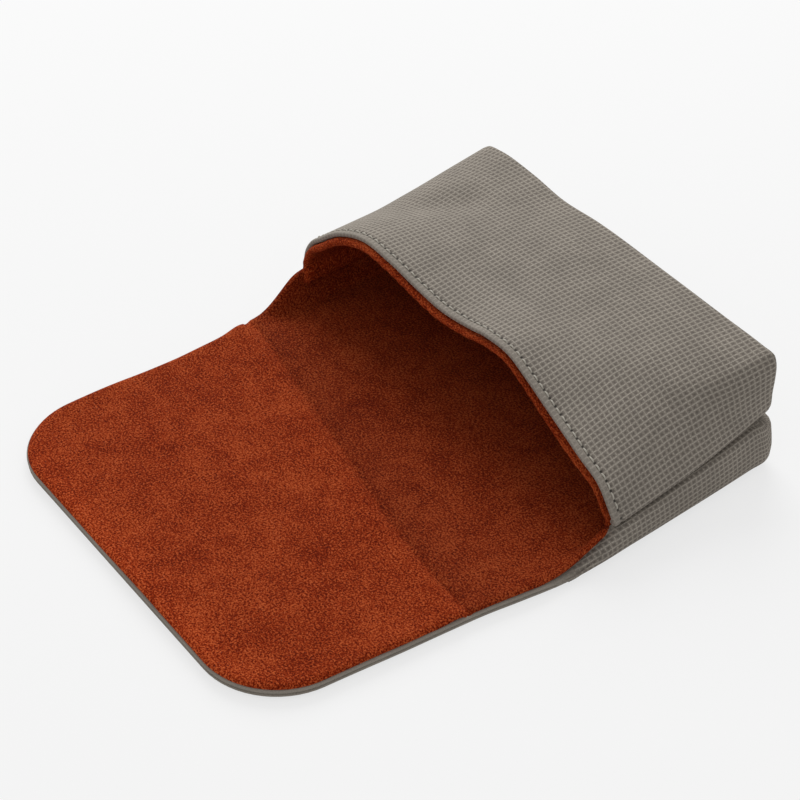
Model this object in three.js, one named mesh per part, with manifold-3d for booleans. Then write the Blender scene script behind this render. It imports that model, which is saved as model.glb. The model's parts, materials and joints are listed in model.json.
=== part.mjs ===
// Soft padded pouch with a wide fold-over flap, lying on its back with the flap laid open.
// Millimetres. +X runs along the mouth, +Y from the mouth to the closed bottom, +Z up.
// The origin is the middle of the flat back panel's outer face.
import * as THREE from "three";
import { mergeVertices } from "three/addons/utils/BufferGeometryUtils.js";
import Module from "manifold-3d";

const wasm = await Module();
wasm.setup();

// Pocket, outside sizes
const pouchWidth = 136;
const pocketDepth = 60;
const mouthHeight = 37.5;
const bottomHeight = 36.8;
const shoulderInsetAtMouth = 0.5;
const shoulderInsetAtBottom = 4.5;
const shoulderReachAtBottom = 7.5;
const shoulderDropAtBottom = 6.5;
const crownRise = 1.5;
const topCurvePower = 1.6;
const floorCornerAtMouth = 5.5;
const floorCornerAtBottom = 6.5;
const bottomEdgeRadius = 4.8;
const bottomBulge = 2.5;

// The soft mouth slouches: its lip stands full and high on the left, dips in the middle and sags to
// a low shoulder on the right. The sag dies out towards the bottom end.
const middleDipAtMouth = 3;
const rightSagAtMouth = 10.5;
const leftReachAtMouth = 26;
const leftDropAtMouth = 21;
const rightReachAtMouth = 11;
const rightDropAtMouth = 9;

// Seam that joins the front panel to the back panel
const seamHeightAtMouth = 8;
const seamHeightAtBottom = 18;
const seamPinch = 1.4;
const seamPinchReach = 2.4;
const seamAllowance = 6;

// Layers of the walls and the flap, and the clearance between neighbouring pieces
const clothThickness = 0.8;
const foamThickness = 1.8;
const liningThickness = 0.9;
const layerGap = 0.3;
const liningProud = 0.6;

// Flap: a spine as deep as the closed pouch, then the part that covers the front panel
const foldAheadOfMouth = 8.5;
const spineLength = 36.5;
const flapFrontLength = 64;
const flapTaper = 2;
const flapCornerRadius = 22;
const foldStripWidth = 5;
const rimBelowLining = 0.3;
const pivotAboveLining = 0.2;

// Hidden closure magnets
const magnetDiameter = 14;
const magnetThickness = 1.2;
const magnetFromBottom = 16;

// How finely round shapes are cut
const cornerSteps = 3;
const shoulderSteps = 7;
const crownSteps = 5;
const pocketStations = 6;
const edgeSteps = 3;
const domeScales = [0.62, 0.28];
const roundSegments = 28;
const outlineSteps = 8;
const leastRadius = 0.4;

// Places that follow from the sizes
const mouthY = -pocketDepth / 2;
const bottomY = pocketDepth / 2;
const baseFoldY = mouthY - foldAheadOfMouth;
const frontFoldY = baseFoldY - spineLength;
const flapEndY = frontFoldY - flapFrontLength;
const foamInset = clothThickness + layerGap;
const liningInset = foamInset + foamThickness + layerGap;
const wallThickness = liningInset + liningThickness;
const cutMargin = 4 * wallThickness;
const frontMagnetY = bottomY - magnetFromBottom;
const flapMagnetY = frontFoldY - (frontMagnetY - baseFoldY);

const clothMaterial = { color: 0x8b857c, roughness: 0.9, metalness: 0 };
const liningMaterial = { color: 0x8c3a1c, roughness: 0.95, metalness: 0 };
const foamMaterial = { color: 0x4a4a4a, roughness: 0.95, metalness: 0 };
const magnetMaterial = { color: 0xb9bcc0, roughness: 0.3, metalness: 1 };

const lerp = THREE.MathUtils.lerp;

function toSolid(geometry) {
  geometry.deleteAttribute("normal");
  geometry.deleteAttribute("uv");
  const merged = mergeVertices(geometry, 1e-4);
  const mesh = new wasm.Mesh({
    numProp: 3,
    vertProperties: merged.attributes.position.array,
    triVerts: new Uint32Array(merged.index.array),
  });
  return new wasm.Manifold(mesh);
}

function toGeometry(solid) {
  const mesh = solid.getMesh();
  const geometry = new THREE.BufferGeometry();
  geometry.setAttribute("position", new THREE.BufferAttribute(mesh.vertProperties, 3));
  geometry.setIndex(new THREE.BufferAttribute(mesh.triVerts, 1));
  geometry.computeVertexNormals();
  return geometry;
}

// Height of the side seam at a distance y along the pocket, a straight climb to the bottom end.
function seamHeight(y) {
  return lerp(seamHeightAtMouth, seamHeightAtBottom, (y - mouthY) / pocketDepth);
}

// Height of the front panel's middle line, outside.
function crownHeight(y) {
  const run = THREE.MathUtils.clamp((y - mouthY) / pocketDepth, 0, 1);
  return lerp(mouthHeight - middleDipAtMouth, bottomHeight, run);
}

// Each half of the mouth: its shoulder, and how far the top falls from the middle to that shoulder.
const leftHalf = { reach: leftReachAtMouth, drop: leftDropAtMouth, fall: -middleDipAtMouth };
const rightHalf = { reach: rightReachAtMouth, drop: rightDropAtMouth, fall: rightSagAtMouth };

// One half of the pocket's cross-section at y, shrunk by inset, from the floor's middle to the crown:
// flat floor, round floor corner, wall drawn in at the seam, elliptical shoulder, curved top.
function halfSection(y, inset, half) {
  const run = THREE.MathUtils.clamp((y - mouthY) / pocketDepth, 0, 1);
  const wall = pouchWidth / 2 - inset;
  const shoulder = wall - lerp(shoulderInsetAtMouth, shoulderInsetAtBottom, run);
  const corner = Math.max(lerp(floorCornerAtMouth, floorCornerAtBottom, run) - inset, leastRadius);
  const reach = Math.max(lerp(half.reach, shoulderReachAtBottom, run) - inset, leastRadius);
  const drop = Math.max(lerp(half.drop, shoulderDropAtBottom, run) - inset, leastRadius);
  const fall = lerp(half.fall, crownRise, run);
  const crown = crownHeight(y) - inset;
  const shoulderTop = crown - fall;
  const seam = lerp(seamHeightAtMouth, seamHeightAtBottom, run);
  const points = [new THREE.Vector2(0, inset)];
  for (let i = 0; i <= cornerSteps; i++) {
    const turn = (i / cornerSteps - 1) * (Math.PI / 2);
    const x = wall - corner + corner * Math.cos(turn);
    points.push(new THREE.Vector2(x, inset + corner + corner * Math.sin(turn)));
  }
  points.push(new THREE.Vector2(wall, seam - seamPinchReach));
  points.push(new THREE.Vector2(wall - seamPinch, seam));
  points.push(new THREE.Vector2(wall, seam + seamPinchReach));
  for (let i = 0; i <= shoulderSteps; i++) {
    const turn = (i / shoulderSteps) * (Math.PI / 2);
    const x = shoulder - reach + reach * Math.cos(turn);
    points.push(new THREE.Vector2(x, shoulderTop - drop + drop * Math.sin(turn)));
  }
  for (let i = 1; i <= crownSteps; i++) {
    const toMiddle = i / crownSteps;
    const x = (shoulder - reach) * (1 - toMiddle);
    points.push(new THREE.Vector2(x, crown - fall * (1 - toMiddle) ** topCurvePower));
  }
  return points;
}

// A whole ring of the cross-section in the plane y, drawn towards the ring's middle by shrink.
function ring(y, inset, placeY = y, shrink = 1) {
  const right = halfSection(y, inset, rightHalf);
  const left = halfSection(y, inset, leftHalf).slice(1, -1).reverse();
  const middleZ = (right[0].y + right.at(-1).y) / 2;
  const outline = right.concat(left.map((p) => new THREE.Vector2(-p.x, p.y)));
  return outline.map(
    (p) => new THREE.Vector3(p.x * shrink, placeY, middleZ + (p.y - middleZ) * shrink),
  );
}

// Closed solid through a row of rings of equal counts, with its ends closed by fans.
function loft(rings) {
  const count = rings[0].length;
  const vertices = rings.flat();
  const index = [];
  for (let r = 0; r + 1 < rings.length; r++) {
    for (let i = 0; i < count; i++) {
      const a = r * count + i;
      const b = r * count + ((i + 1) % count);
      index.push(a, a + count, b, b, a + count, b + count);
    }
  }
  for (const [r, flip] of [[0, false], [rings.length - 1, true]]) {
    const middle = new THREE.Vector3();
    rings[r].forEach((p) => middle.add(p));
    vertices.push(middle.divideScalar(count));
    for (let i = 0; i < count; i++) {
      const a = r * count + i;
      const b = r * count + ((i + 1) % count);
      index.push(...(flip ? [b, a] : [a, b]), vertices.length - 1);
    }
  }
  const geometry = new THREE.BufferGeometry().setFromPoints(vertices);
  geometry.setIndex(index);
  return geometry;
}

// The whole pocket as one solid, shrunk by inset: open-ended past the fold, rounded and swollen at
// the bottom end.
function pocketSolid(inset) {
  const radius = Math.max(bottomEdgeRadius - inset, leastRadius);
  const endY = bottomY - inset;
  const startY = baseFoldY - cutMargin;
  const rings = [ring(startY, inset)];
  for (let i = 0; i <= pocketStations; i++) {
    rings.push(ring(lerp(mouthY, endY - radius, i / pocketStations), inset));
  }
  for (let i = 1; i <= edgeSteps; i++) {
    const turn = (i / edgeSteps) * (Math.PI / 2);
    const placeY = endY - radius + radius * Math.sin(turn);
    rings.push(ring(bottomY, inset + radius * (1 - Math.cos(turn)), placeY));
  }
  for (const scale of domeScales) {
    const placeY = endY + bottomBulge * (1 - scale * scale);
    rings.push(ring(bottomY, inset + radius, placeY, scale));
  }
  return toSolid(loft(rings));
}

// Block across the whole width, over an outline of [y, z] corners.
function acrossBlock(corners) {
  const outline = new THREE.Shape(corners.map(([y, z]) => new THREE.Vector2(y, z)));
  const width = pouchWidth + 2 * cutMargin;
  const geometry = new THREE.ExtrudeGeometry(outline, { depth: width, bevelEnabled: false });
  geometry.translate(0, 0, -width / 2);
  const toFrame = new THREE.Matrix4().makeBasis(
    new THREE.Vector3(0, 1, 0),
    new THREE.Vector3(0, 0, 1),
    new THREE.Vector3(1, 0, 0),
  );
  return toSolid(geometry.applyMatrix4(toFrame));
}

const farY = bottomY + bottomBulge + cutMargin;
const topZ = Math.max(mouthHeight, bottomHeight) + cutMargin;

// The space of the front panel: behind frontY, and above the seam by offset.
function frontSpace(frontY, offset, endY = farY) {
  return acrossBlock([
    [frontY, seamHeight(frontY) + offset],
    [endY, seamHeight(endY) + offset],
    [endY, topZ],
    [frontY, topZ],
  ]);
}

// The space of the back panel: below the seam by offset, its walls running down to the fold's height.
function backSpace(frontY, offset, foldHeight) {
  return acrossBlock([
    [frontY, -cutMargin],
    [farY, -cutMargin],
    [farY, seamHeight(farY) - offset],
    [mouthY, seamHeight(mouthY) - offset],
    [frontY, foldHeight],
  ]);
}

// The strip along the seam, reaching to both sides by half its width, from frontY to the bottom end.
function seamSpace(frontY, halfWidth) {
  return acrossBlock([
    [frontY, seamHeight(frontY) - halfWidth],
    [farY, seamHeight(farY) - halfWidth],
    [farY, seamHeight(farY) + halfWidth],
    [frontY, seamHeight(frontY) + halfWidth],
  ]);
}

// Wall of the pocket between two insets.
function wallBetween(outerInset, innerInset) {
  return pocketSolid(outerInset).subtract(pocketSolid(innerInset));
}

function disc(diameter, thickness, x, y, z) {
  const radius = diameter / 2;
  const geometry = new THREE.CylinderGeometry(radius, radius, thickness, roundSegments);
  return geometry.rotateX(Math.PI / 2).translate(x, y, z);
}

const seamHalfGap = layerGap / 2;
const clothWall = wallBetween(0, clothThickness);
const foamWall = wallBetween(foamInset, foamInset + foamThickness);
const liningWall = wallBetween(liningInset, wallThickness);
const foamSeamOffset = seamAllowance / 2 + seamHalfGap;
const foamMiddle = foamInset + foamThickness / 2;
const frontMagnetZ = crownHeight(frontMagnetY) - foamMiddle;
const magnetHole = magnetDiameter + 2 * layerGap;

// The cloth turns in round the lip and covers the foam's edge there.
function frontOuter() {
  const lipTurn = wallBetween(0, liningInset - layerGap);
  const lipSpace = frontSpace(mouthY, seamHalfGap, mouthY + clothThickness);
  const panel = clothWall.intersect(frontSpace(mouthY, seamHalfGap));
  return toGeometry(panel.add(lipTurn.intersect(lipSpace)));
}

function frontPadding() {
  const panel = foamWall.intersect(
    frontSpace(mouthY + clothThickness + layerGap, foamSeamOffset),
  );
  const holeDepth = 2 * foamThickness + crownRise;
  const hole = disc(magnetHole, holeDepth, 0, frontMagnetY, frontMagnetZ);
  return toGeometry(panel.subtract(toSolid(hole)));
}

function frontLining() {
  return toGeometry(liningWall.intersect(frontSpace(mouthY - liningProud, seamHalfGap)));
}

function backOuter() {
  const frontY = baseFoldY + foldStripWidth / 2 + layerGap;
  return toGeometry(clothWall.intersect(backSpace(frontY, seamHalfGap, wallThickness)));
}

function backPadding() {
  const frontY = baseFoldY + seamHalfGap;
  const space = backSpace(frontY, foamSeamOffset, foamInset + foamThickness + seamHalfGap);
  return toGeometry(foamWall.intersect(space));
}

function backLining() {
  const frontY = baseFoldY + seamHalfGap;
  return toGeometry(liningWall.intersect(backSpace(frontY, seamHalfGap, wallThickness)));
}

function seamAllowanceBand() {
  const space = seamSpace(mouthY + clothThickness + layerGap, seamAllowance / 2 - seamHalfGap);
  return toGeometry(foamWall.intersect(space));
}

// Half width of the flap's front at y, a straight taper from the fold to where its corners begin.
function flapHalfWidth(y) {
  return pouchWidth / 2 - (flapTaper * (frontFoldY - y)) / (flapFrontLength - flapCornerRadius);
}

// Plan of the flap's front, drawn in by inset on its three free edges, starting at startY.
function flapFrontPlan(startY, inset) {
  const endY = flapEndY + inset;
  const radius = Math.max(flapCornerRadius - inset, leastRadius);
  const half = pouchWidth / 2 - flapTaper - inset;
  const startHalf = flapHalfWidth(startY) - inset;
  const plan = new THREE.Shape();
  plan.moveTo(startHalf, startY);
  plan.lineTo(-startHalf, startY);
  plan.absarc(-half + radius, endY + radius, radius, Math.PI, 1.5 * Math.PI, false);
  plan.absarc(half - radius, endY + radius, radius, 1.5 * Math.PI, 2 * Math.PI, false);
  return plan;
}

function plate(plan, lowZ, highZ) {
  const options = { depth: highZ - lowZ, bevelEnabled: false, curveSegments: outlineSteps };
  return new THREE.ExtrudeGeometry(plan, options).translate(0, 0, lowZ);
}

// Open channel across the flap: its floor and two turned-up rims, from nearY out to endY.
function turnedStrip(nearY, endY) {
  const half = pouchWidth / 2;
  const inner = half - clothThickness;
  const rimTop = wallThickness - rimBelowLining;
  const outline = new THREE.Shape();
  outline.moveTo(-half, 0);
  outline.lineTo(half, 0);
  outline.lineTo(half, rimTop);
  outline.lineTo(inner, rimTop);
  outline.lineTo(inner, clothThickness);
  outline.lineTo(-inner, clothThickness);
  outline.lineTo(-inner, rimTop);
  outline.lineTo(-half, rimTop);
  const geometry = new THREE.ExtrudeGeometry(outline, { depth: nearY - endY, bevelEnabled: false });
  return geometry.rotateX(Math.PI / 2).translate(0, nearY, 0);
}

function spineSheet(lowZ, thickness) {
  const width = pouchWidth - 2 * (clothThickness + layerGap);
  const length = spineLength - layerGap;
  const geometry = new THREE.BoxGeometry(width, length, thickness);
  return geometry.translate(0, (baseFoldY + frontFoldY) / 2, lowZ + thickness / 2);
}

function flapOuter() {
  const startY = frontFoldY - foldStripWidth / 2 - layerGap;
  const whole = toSolid(plate(flapFrontPlan(startY, 0), 0, wallThickness - rimBelowLining));
  const hollowStart = startY + cutMargin;
  const hollow = plate(flapFrontPlan(hollowStart, clothThickness), clothThickness, 2 * wallThickness);
  return toGeometry(whole.subtract(toSolid(hollow)));
}

function flapSheet(lowZ, thickness) {
  const plan = flapFrontPlan(frontFoldY - seamHalfGap, clothThickness + layerGap);
  return plate(plan, lowZ, lowZ + thickness);
}

function flapPadding() {
  const sheet = toSolid(flapSheet(foamInset, foamThickness));
  const hole = disc(magnetHole, 2 * foamThickness, 0, flapMagnetY, foamMiddle);
  return toGeometry(sheet.subtract(toSolid(hole)));
}

function piece(name, geometry, finish) {
  const mesh = new THREE.Mesh(geometry, new THREE.MeshStandardMaterial(finish));
  mesh.name = name;
  return mesh;
}

const halfStrip = foldStripWidth / 2;

const pouchBody = new THREE.Group();
pouchBody.add(
  piece("back_outer", backOuter(), clothMaterial),
  piece("back_padding", backPadding(), foamMaterial),
  piece("back_lining", backLining(), liningMaterial),
  piece("front_outer", frontOuter(), clothMaterial),
  piece("front_padding", frontPadding(), foamMaterial),
  piece("front_lining", frontLining(), liningMaterial),
  piece("seam_allowance", seamAllowanceBand(), clothMaterial),
  piece(
    "front_magnet",
    disc(magnetDiameter, magnetThickness, 0, frontMagnetY, frontMagnetZ),
    magnetMaterial,
  ),
  piece("base_fold_cloth", turnedStrip(baseFoldY + halfStrip, baseFoldY - halfStrip), clothMaterial),
);

const spineBody = new THREE.Group();
spineBody.add(
  piece(
    "spine_outer",
    turnedStrip(baseFoldY - halfStrip - layerGap, frontFoldY + halfStrip + layerGap),
    clothMaterial,
  ),
  piece("spine_padding", spineSheet(foamInset, foamThickness), foamMaterial),
  piece("spine_lining", spineSheet(liningInset, liningThickness), liningMaterial),
  piece(
    "front_fold_cloth",
    turnedStrip(frontFoldY + halfStrip, frontFoldY - halfStrip),
    clothMaterial,
  ),
);

const flapBody = new THREE.Group();
flapBody.add(
  piece("flap_outer", flapOuter(), clothMaterial),
  piece("flap_padding", flapPadding(), foamMaterial),
  piece("flap_lining", flapSheet(liningInset, liningThickness), liningMaterial),
  piece("flap_magnet", disc(magnetDiameter, magnetThickness, 0, flapMagnetY, foamMiddle), magnetMaterial),
);

const pouch = new THREE.Group();
pouch.name = "soft_pouch";
pouch.userData.folds = {
  baseFold: [0, baseFoldY, wallThickness + pivotAboveLining],
  frontFold: [0, frontFoldY, wallThickness + pivotAboveLining],
};
pouch.add(pouchBody, spineBody, flapBody);

export default pouch;
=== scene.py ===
import json
import math

import bpy
import numpy as np
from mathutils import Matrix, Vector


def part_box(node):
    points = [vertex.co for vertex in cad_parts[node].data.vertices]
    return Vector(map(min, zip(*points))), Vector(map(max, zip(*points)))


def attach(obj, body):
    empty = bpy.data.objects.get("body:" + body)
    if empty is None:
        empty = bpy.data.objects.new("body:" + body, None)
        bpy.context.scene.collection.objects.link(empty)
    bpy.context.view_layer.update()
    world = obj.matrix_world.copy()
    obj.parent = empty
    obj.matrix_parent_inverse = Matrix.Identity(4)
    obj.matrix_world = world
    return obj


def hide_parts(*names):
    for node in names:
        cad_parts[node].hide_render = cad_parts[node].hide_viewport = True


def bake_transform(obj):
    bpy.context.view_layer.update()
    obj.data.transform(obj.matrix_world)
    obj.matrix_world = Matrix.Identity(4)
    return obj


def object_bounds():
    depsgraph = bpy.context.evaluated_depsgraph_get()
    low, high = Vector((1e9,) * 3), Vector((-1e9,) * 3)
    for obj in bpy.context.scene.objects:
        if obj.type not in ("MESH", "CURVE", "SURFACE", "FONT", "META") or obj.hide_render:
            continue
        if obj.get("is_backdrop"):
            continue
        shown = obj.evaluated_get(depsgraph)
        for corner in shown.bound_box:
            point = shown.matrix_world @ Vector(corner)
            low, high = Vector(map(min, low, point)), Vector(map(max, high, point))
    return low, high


# Lengths are millimetres in the row frame: x along the mouth, y from flap to closed end, z up.
mm = 0.001
curveSteps = 1600  # points that stand for a curve while its length is read

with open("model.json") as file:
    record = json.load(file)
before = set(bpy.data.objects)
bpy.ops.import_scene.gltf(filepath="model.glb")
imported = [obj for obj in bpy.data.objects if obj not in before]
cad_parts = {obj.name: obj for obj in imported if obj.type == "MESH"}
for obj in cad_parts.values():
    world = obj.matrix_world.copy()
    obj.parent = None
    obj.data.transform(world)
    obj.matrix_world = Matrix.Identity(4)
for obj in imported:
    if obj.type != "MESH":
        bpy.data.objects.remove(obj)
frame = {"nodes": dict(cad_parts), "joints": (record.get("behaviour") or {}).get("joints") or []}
scene = bpy.context.scene
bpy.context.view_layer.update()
joints = {joint["name"]: joint for joint in frame["joints"]}
baseFoldY = joints["base_fold"]["pos_m"][1] / mm
frontFoldY = joints["front_fold"]["pos_m"][1] / mm
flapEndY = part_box("flap_outer")[0][1] / mm
closedEndY = 30.0  # at its corners, from which it bulges


def ease(start, end, value):
    # Nought before the start, one past the end, and between them a cubic that is level at both.
    share = np.clip((value - start) / (end - start), 0.0, 1.0)
    return share * share * (3.0 - 2.0 * share)


def passThrough(knots, values, at):
    # Cubic pieces through the values, each with the slope that its two neighbours give.
    knots = np.asarray(knots, float)
    values = np.asarray(values, float)
    at = np.clip(np.asarray(at, float), knots[0], knots[-1])
    slopes = np.gradient(values, knots, axis=0)
    cell = np.clip(np.searchsorted(knots, at, side="right") - 1, 0, len(knots) - 2)
    wide = np.diff(knots)[cell]
    share = (at - knots[cell]) / wide
    tail = (slice(None),) + (None,) * (values.ndim - 1)
    u = share[tail] if values.ndim > 1 else share
    wide = wide[tail] if values.ndim > 1 else wide
    start = (1.0 + 2.0 * u) * (1.0 - u) ** 2 * values[cell] + u * (1.0 - u) ** 2 * wide * slopes[cell]
    end = u * u * (3.0 - 2.0 * u) * values[cell + 1] + u * u * (u - 1.0) * wide * slopes[cell + 1]
    return start + end


def lengthAlong(points):
    # The running length of a line of points, from nought at the first.
    steps = np.linalg.norm(np.diff(points, axis=0), axis=1)
    return np.concatenate([[0.0], np.cumsum(steps)])


def curveAt(points, shares):
    # The curve through the points, read at shares of its own length.
    points = np.asarray(points, float)
    knots = lengthAlong(points)
    fine = passThrough(knots, points, np.linspace(0.0, knots[-1], curveSteps))
    run = lengthAlong(fine)
    return np.stack([np.interp(shares * run[-1], run, fine[:, axis]) for axis in range(3)], 1)


def unit(vectors):
    # Each vector divided by its own length.
    return vectors / np.linalg.norm(vectors, axis=-1, keepdims=True)


def ripple(x, y, seed, wave, height):
    # Seven sine waves with seeded headings and phases, each near the given wavelength.
    waves = 7
    chance = np.random.default_rng(seed)
    heading = chance.uniform(0.0, np.pi, waves)
    phase = chance.uniform(0.0, 2.0 * np.pi, waves)
    pace = 2.0 * np.pi / (wave * chance.uniform(0.7, 1.5, waves))
    along = np.multiply.outer(x, np.cos(heading)) + np.multiply.outer(y, np.sin(heading))
    return height * np.sin(along * pace + phase).sum(-1) / math.sqrt(waves)


def hollow(x, y, centre, heading, long, short, depth):
    # A soft oval dent: a bell curve with a long and a short reach, turned to the heading in degrees.
    turn = math.radians(heading)
    across = (x - centre[0]) * math.cos(turn) + (y - centre[1]) * math.sin(turn)
    aside = (y - centre[1]) * math.cos(turn) - (x - centre[0]) * math.sin(turn)
    return depth * np.exp(-((across / long) ** 2) - (aside / short) ** 2)


def gridIndex(grid, first=0):
    # The points of a grid numbered row by row, from a given first number.
    return first + np.arange(grid[..., 0].size).reshape(grid.shape[:-1])


def quadsOf(index):
    # One four-sided face for each cell between two rows and two columns.
    return np.stack([index[:-1, :-1], index[:-1, 1:], index[1:, 1:], index[1:, :-1]], -1).reshape(-1, 4)


def relax(points, quads, pull, passes):
    # Each pass moves a point its share of the way to the middle of its neighbours.
    links = np.concatenate([quads[:, [0, 1]], quads[:, [1, 2]], quads[:, [2, 3]], quads[:, [3, 0]]])
    links = np.unique(np.sort(links, axis=1), axis=0)
    links = np.concatenate([links, links[:, ::-1]])
    count = np.bincount(links[:, 0], minlength=len(points))[:, None]
    for step in range(passes):
        ends = points[links[:, 1]]
        total = np.stack([np.bincount(links[:, 0], ends[:, axis], len(points)) for axis in range(3)], 1)
        points = points + pull[:, None] * (total / count - points)
    return points


def addPiece(name, points, quads, uv, material, thickness=0.0, offset=-1.0, marks=None):
    # A smooth mesh with its uv in millimetres, its marks as point attributes and a wall if it has one.
    mesh = bpy.data.meshes.new(name)
    mesh.from_pydata(points * mm, [], quads)
    mesh.update()
    corners = np.empty(len(mesh.loops), np.int32)
    mesh.loops.foreach_get("vertex_index", corners)
    layer = mesh.uv_layers.new(name="cloth")
    layer.data.foreach_set("uv", uv[corners].astype(np.float32).ravel())
    for mark, values in (marks or {}).items():
        mesh.attributes.new(mark, "FLOAT", "POINT").data.foreach_set("value", values.astype(np.float32))
    mesh.polygons.foreach_set("use_smooth", np.ones(len(mesh.polygons), bool))
    mesh.materials.append(material)
    piece = bpy.data.objects.new(name, mesh)
    scene.collection.objects.link(piece)
    if thickness:
        solid = piece.modifiers.new("thickness", "SOLIDIFY")
        solid.thickness = thickness * mm
        solid.offset = offset
    return piece


def dressFoam(piece, body, node):
    # What every foam piece tells the frame.
    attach(piece, body)
    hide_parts(node)


def linearColour(text):
    # Six hex digits of sRGB turned to linear light by the sRGB curve.
    parts = np.array([int(text[at : at + 2], 16) for at in (0, 2, 4)]) / 255.0
    return (*np.where(parts <= 0.04045, parts / 12.92, ((parts + 0.055) / 1.055) ** 2.4), 1.0)


def addNode(tree, kind, sets=(), feeds=()):
    # Sets are the node's own settings. Feeds go to its sockets, as links or as fixed values.
    node = tree.nodes.new("ShaderNode" + kind)
    for name, value in dict(sets).items():
        setattr(node, name, value)
    for socket, value in dict(feeds).items():
        if isinstance(value, bpy.types.NodeSocket):
            tree.links.new(value, node.inputs[socket])
        else:
            node.inputs[socket].default_value = value
    return node


def setTones(ramp, tones):
    # The first tone takes over the first stop, each other one adds a stop, and the old last stop goes.
    stops = ramp.color_ramp.elements
    for number, (position, colour) in enumerate(tones):
        stop = stops.new(position) if number else stops[0]
        stop.position = position
        stop.color = linearColour(colour)
    stops.remove(stops[-1])


def newMaterial(name):
    # A material with its node tree and the shader that the tree starts with.
    material = bpy.data.materials.new(name)
    material.use_nodes = True
    tree = material.node_tree
    return material, tree, tree.nodes["Principled BSDF"]


def plainMaterial(name, colour, roughness, metallic=0.0):
    # One colour and one finish all over.
    material, _, shader = newMaterial(name)
    shader.inputs["Base Color"].default_value = linearColour(colour)
    shader.inputs["Roughness"].default_value = roughness
    shader.inputs["Metallic"].default_value = metallic
    return material


# Woven check cloth: thin pale yarns cross in a small grid, and each sunk cell darkens to its middle.
# Its fibres are too fine to show, so their grain is drawn as coarse as it needs to be.
checkCloth = {
    "pitchAcross": 1.55,
    "pitchAlong": 1.74,
    "alongShare": 0.92,  # how strongly the yarns along the pouch show
    "tones": ((0.0, "655e57"), (0.5, "7a7269"), (0.84, "888076"), (0.98, "a49c91")),
    "plain": "928a80",  # the hem, where the check gives way
    "drift": {"size": 9.09, "detail": 2.0, "roughness": 0.5, "reach": 0.6},
    "waver": {"size": 1.111, "detail": 1.0, "roughness": 0.5, "reach": 0.26},
    "fibre": {"size": 0.3846, "detail": 3.0, "roughness": 0.6, "span": (0.25, 0.75), "tone": (0.77, 1.23)},
    "patch": {"size": 8.333, "detail": 3.0, "roughness": 0.5, "span": (0.3, 0.7), "tone": (0.93, 1.07)},
    "fray": 0.5,  # how far the fibres break up the yarns
    "stitchPitch": 2.9,
    "stitchFrom": 1.6,  # from the lip to the stitch row
    "holeRadius": (0.25, 0.6),
    "holeShade": 0.85,
    "crestPower": 5.0,  # makes the raised yarns narrow
    "fibreRelief": 0.35,
    "relief": 0.22,
}
outerCloth, tree, shader = newMaterial("wovenCheckCloth")
place = addNode(tree, "UVMap", {"uv_map": "cloth"}).outputs["UV"]
noise = {}
for name in ("drift", "waver", "fibre", "patch"):
    pattern = checkCloth[name]
    noise[name] = addNode(
        tree,
        "TexNoise",
        {},
        {
            "Vector": place,
            "Scale": 1.0 / pattern["size"],
            "Detail": pattern["detail"],
            "Roughness": pattern["roughness"],
        },
    )
fibre = noise["fibre"].outputs["Fac"]
# The yarns wander: a slow drift and a small waver are added to the place that the grid reads.
wandered = place
for name in ("drift", "waver"):
    wandered = addNode(
        tree,
        "VectorMath",
        {"operation": "MULTIPLY_ADD"},
        {0: noise[name].outputs["Color"], 1: (checkCloth[name]["reach"],) * 3, 2: wandered},
    ).outputs[0]
split = addNode(tree, "SeparateXYZ", {}, {0: wandered})
yarns = []
for axis, pitch in ((0, checkCloth["pitchAcross"]), (1, checkCloth["pitchAlong"])):
    turn = addNode(
        tree, "Math", {"operation": "MULTIPLY"}, {0: split.outputs[axis], 1: 2.0 * math.pi / pitch}
    )
    swing = addNode(tree, "Math", {"operation": "COSINE"}, {0: turn.outputs[0]})
    half = 0.5 * (checkCloth["alongShare"] if axis else 1.0)
    yarn = addNode(
        tree, "Math", {"operation": "MULTIPLY_ADD"}, {0: swing.outputs[0], 1: half, 2: half}
    )
    yarns.append(yarn.outputs[0])
grid = addNode(tree, "Math", {"operation": "MAXIMUM"}, {0: yarns[0], 1: yarns[1]})
fray = addNode(tree, "Math", {"operation": "SUBTRACT"}, {0: fibre, 1: 0.5})
frayed = addNode(
    tree,
    "Math",
    {"operation": "MULTIPLY_ADD"},
    {0: fray.outputs[0], 1: checkCloth["fray"], 2: grid.outputs[0]},
)
weave = addNode(tree, "ValToRGB", {}, {"Fac": frayed.outputs[0]})
setTones(weave, checkCloth["tones"])
plain = addNode(tree, "Attribute", {"attribute_name": "plainHem"}).outputs["Fac"]
hemmed = addNode(
    tree,
    "Mix",
    {"data_type": "RGBA"},
    {"Factor": plain, 6: weave.outputs["Color"], 7: linearColour(checkCloth["plain"])},
)
# Needle holes: painted shade in each needle hole, a dark spot between one stitch and the next, only where
# the piece is marked as sewn.
sewn = addNode(tree, "Attribute", {"attribute_name": "sewnRow"}).outputs["Fac"]
flat = addNode(tree, "SeparateXYZ", {}, {0: place})
beat = addNode(
    tree, "Math", {"operation": "WRAP"}, {0: flat.outputs[0], 1: 0.0, 2: checkCloth["stitchPitch"]}
)
aside = addNode(
    tree, "Math", {"operation": "SUBTRACT"}, {0: flat.outputs[1], 1: checkCloth["stitchFrom"]}
)
spot = addNode(tree, "CombineXYZ", {}, {0: beat.outputs[0], 1: aside.outputs[0], 2: 0.0})
away = addNode(
    tree,
    "VectorMath",
    {"operation": "DISTANCE"},
    {0: spot.outputs[0], 1: (0.5 * checkCloth["stitchPitch"], 0.0, 0.0)},
)
hole = addNode(
    tree,
    "MapRange",
    {},
    {
        "Value": away.outputs["Value"],
        "From Min": checkCloth["holeRadius"][0],
        "From Max": checkCloth["holeRadius"][1],
        "To Min": checkCloth["holeShade"],
        "To Max": 0.0,
    },
)
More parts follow.
